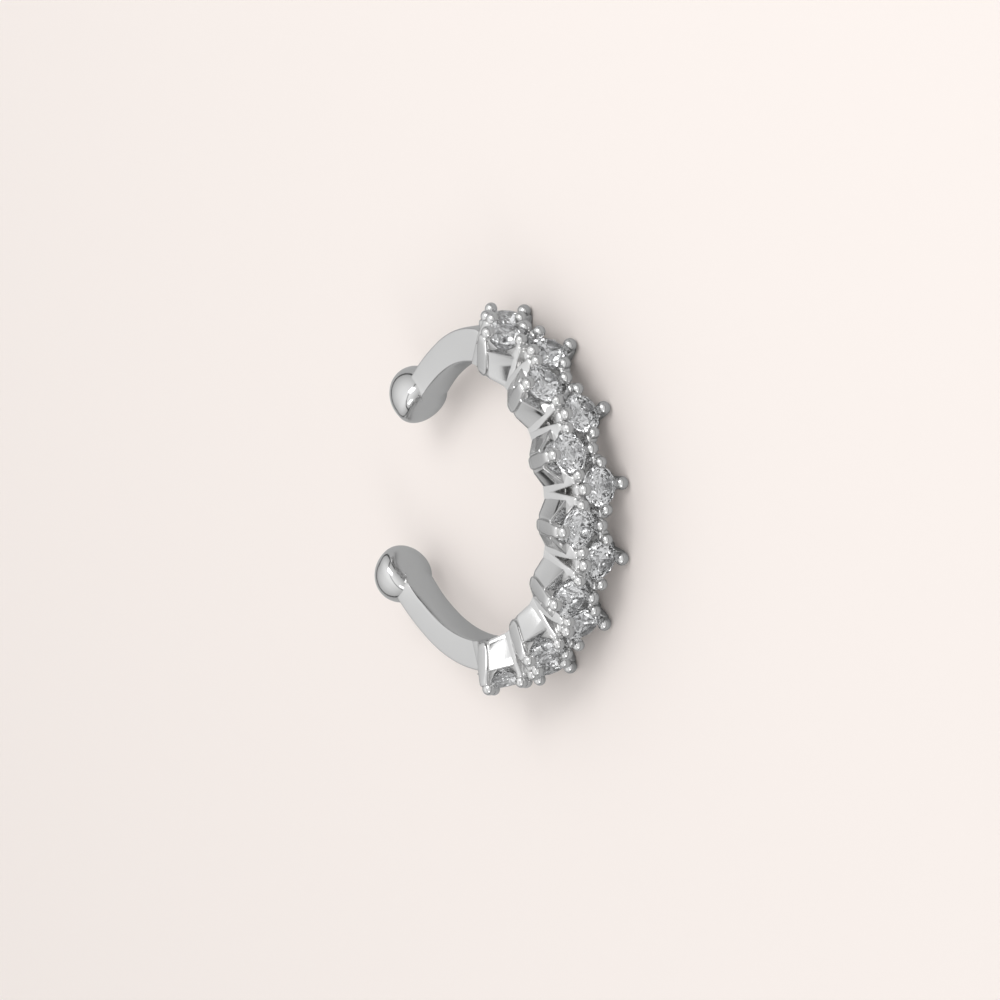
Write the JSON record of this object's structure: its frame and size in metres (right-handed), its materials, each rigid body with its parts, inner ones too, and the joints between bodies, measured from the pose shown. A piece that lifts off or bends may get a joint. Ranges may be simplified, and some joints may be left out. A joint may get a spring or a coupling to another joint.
{
  "type": "ear cuff",
  "caption": "Open oval ear cuff with round pads at its ends and a zigzag of round stones in four-prong settings round its front.",
  "frame": {"origin": "under the middle of the cuff's outline, on the surface that it lies on", "axes": "+Z along the hoop's axis, up as it lies; -Y out of its front, where the stones are; +X towards the arm that sits higher when the cuff is worn, the hoop's long way"},
  "size_m": [0.0126, 0.0112, 0.0029],
  "materials": {
    "plated_silver": "polished rhodium plating over a cast metal",
    "clear_stone": "clear, cut as a round brilliant"
  },
  "bodies": {
    "root": {"cuff_frame": "plated_silver", "stone_01": "clear_stone", "stone_02": "clear_stone", "stone_03": "clear_stone", "stone_04": "clear_stone", "stone_05": "clear_stone", "stone_06": "clear_stone", "stone_07": "clear_stone", "stone_08": "clear_stone", "stone_09": "clear_stone", "stone_10": "clear_stone", "stone_11": "clear_stone", "stone_12": "clear_stone", "stone_13": "clear_stone", "stone_14": "clear_stone"}
  },
  "joints": []
}
